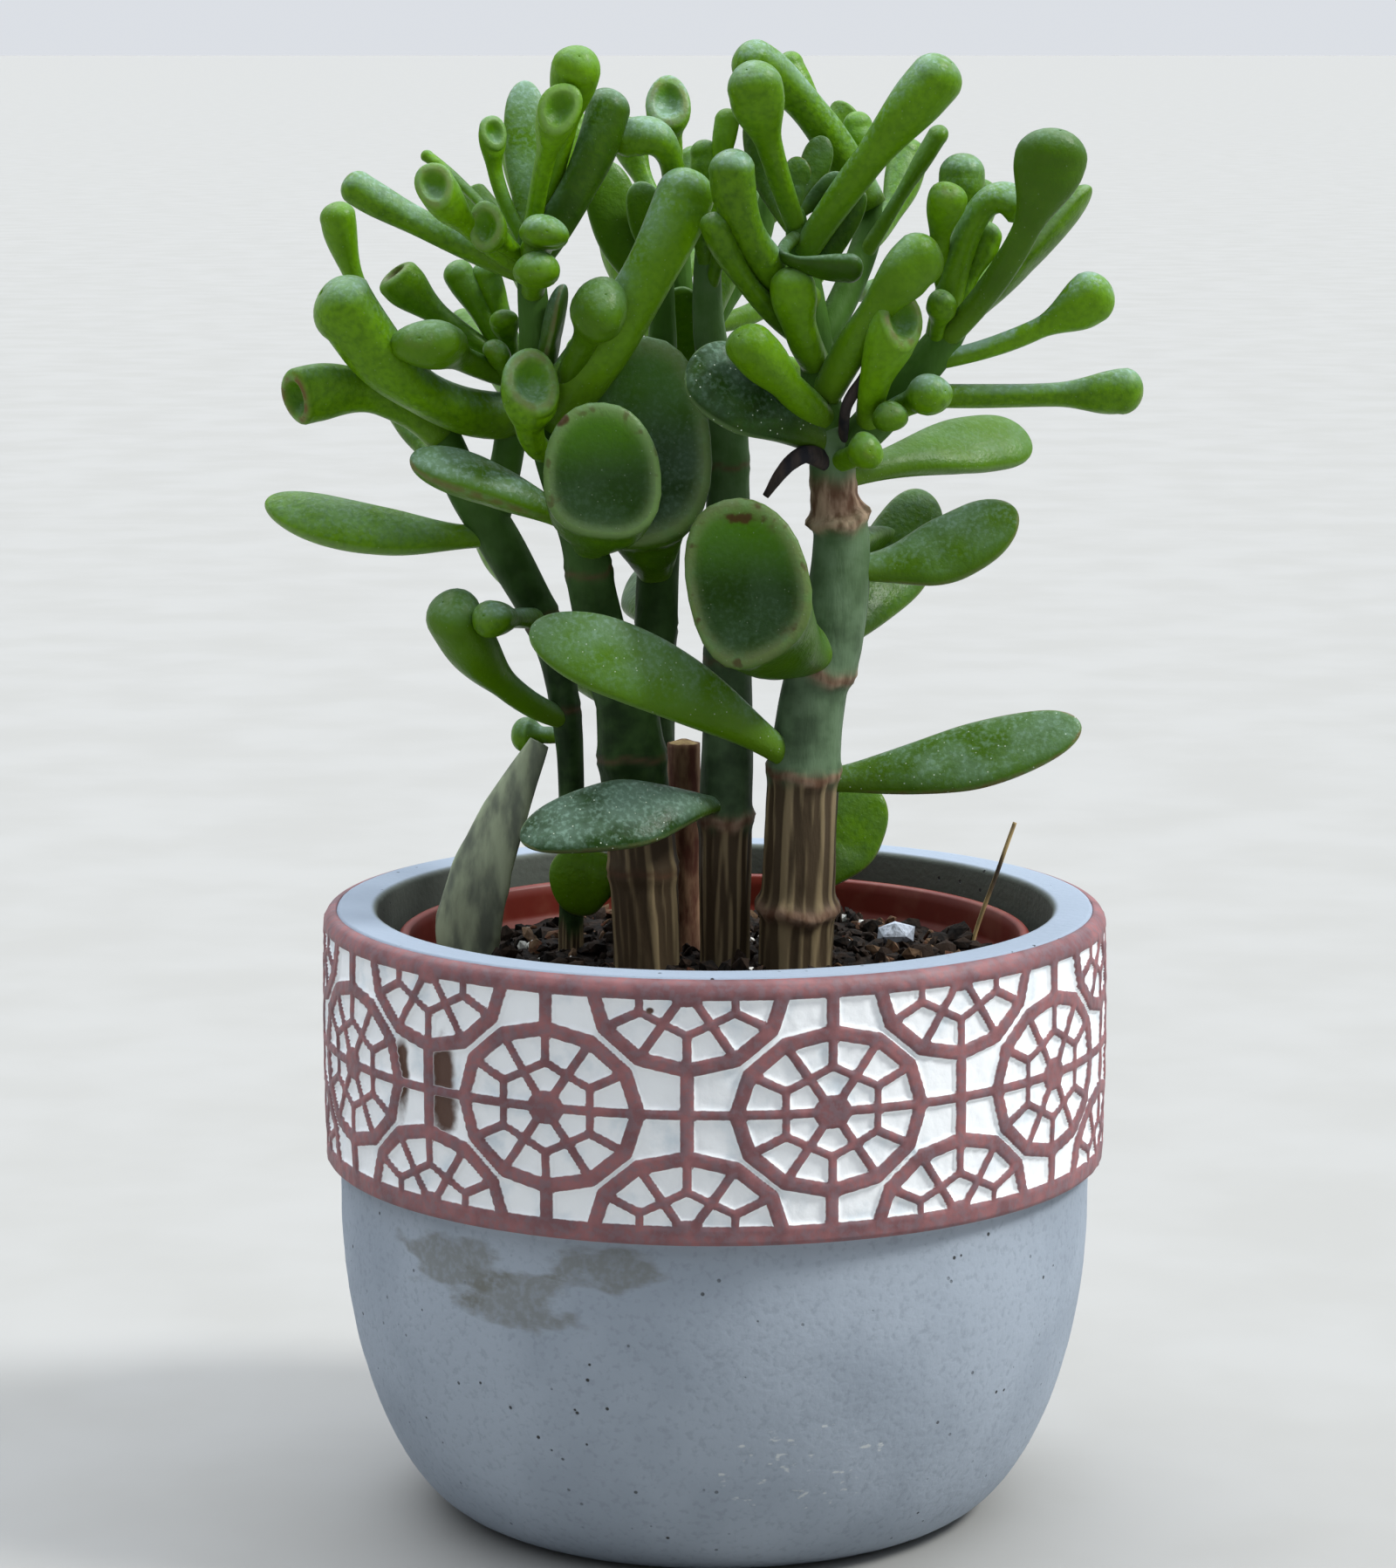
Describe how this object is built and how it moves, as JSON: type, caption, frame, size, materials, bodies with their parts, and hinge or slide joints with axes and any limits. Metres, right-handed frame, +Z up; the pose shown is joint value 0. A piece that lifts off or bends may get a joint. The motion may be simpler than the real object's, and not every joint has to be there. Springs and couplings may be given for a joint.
{
  "type": "potted trumpet jade plant",
  "caption": "Trumpet jade succulent: thick jointed stems with tubular, cup-ended leaves, in a nursery pot of soil inside a round cement cachepot with a raised lattice band.",
  "frame": {"origin": "centre of the cachepot's flat base, on the surface it stands on", "axes": "+Z up, -Y towards the front that is seen first, +X to its right"},
  "size_m": [0.1658, 0.1512, 0.2835],
  "materials": {
    "cement": "matt cast cement, with a painted mauve lattice over a white ground",
    "nursery_plastic": "satin moulded",
    "potting_soil": "rough, with bark chips and perlite",
    "leaf": "satin waxy leaf on striped bark",
    "dry_stub": "dry bark",
    "withered": "wrinkled dry leaf",
    "straw": "dry straw"
  },
  "bodies": {
    "root": {"cachepot": "cement", "nursery_pot": "nursery_plastic", "soil": "potting_soil", "leafy_stem_outer": "leaf", "leafy_stem_left": "leaf", "leafy_stem_middle": "leaf", "leafy_stem_right": "leaf", "leafy_stem_back": "leaf", "cut_stub": "dry_stub", "withered_leaf": "withered", "dry_straw": "straw"}
  },
  "joints": []
}
